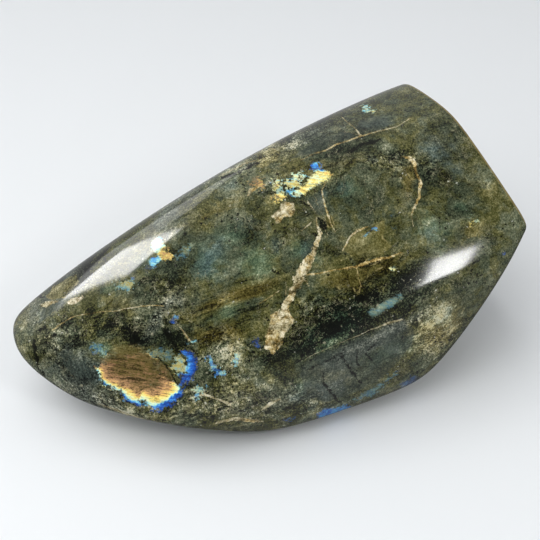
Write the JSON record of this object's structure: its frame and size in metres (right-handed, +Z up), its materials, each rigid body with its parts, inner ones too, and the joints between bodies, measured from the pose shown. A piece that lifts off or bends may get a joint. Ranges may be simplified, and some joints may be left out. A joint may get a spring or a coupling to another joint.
{
  "type": "labradorite freeform",
  "caption": "Polished freeform of labradorite with a flat sawn base, rounded ridges and a blunt tip, lying on a flat polished facet of its side.",
  "frame": {"origin": "on the ground below the middle of the lying stone's bounding box", "axes": "+X along the stone from its blunt tip to its flat sawn base, +Y to the back, +Z up"},
  "size_m": [0.2016, 0.0986, 0.0945],
  "materials": {
    "labradorite": "high polish, dark olive grey with beige veins and patches of blue, cyan and gold flash"
  },
  "bodies": {
    "root": {"stone": "labradorite"}
  },
  "joints": []
}
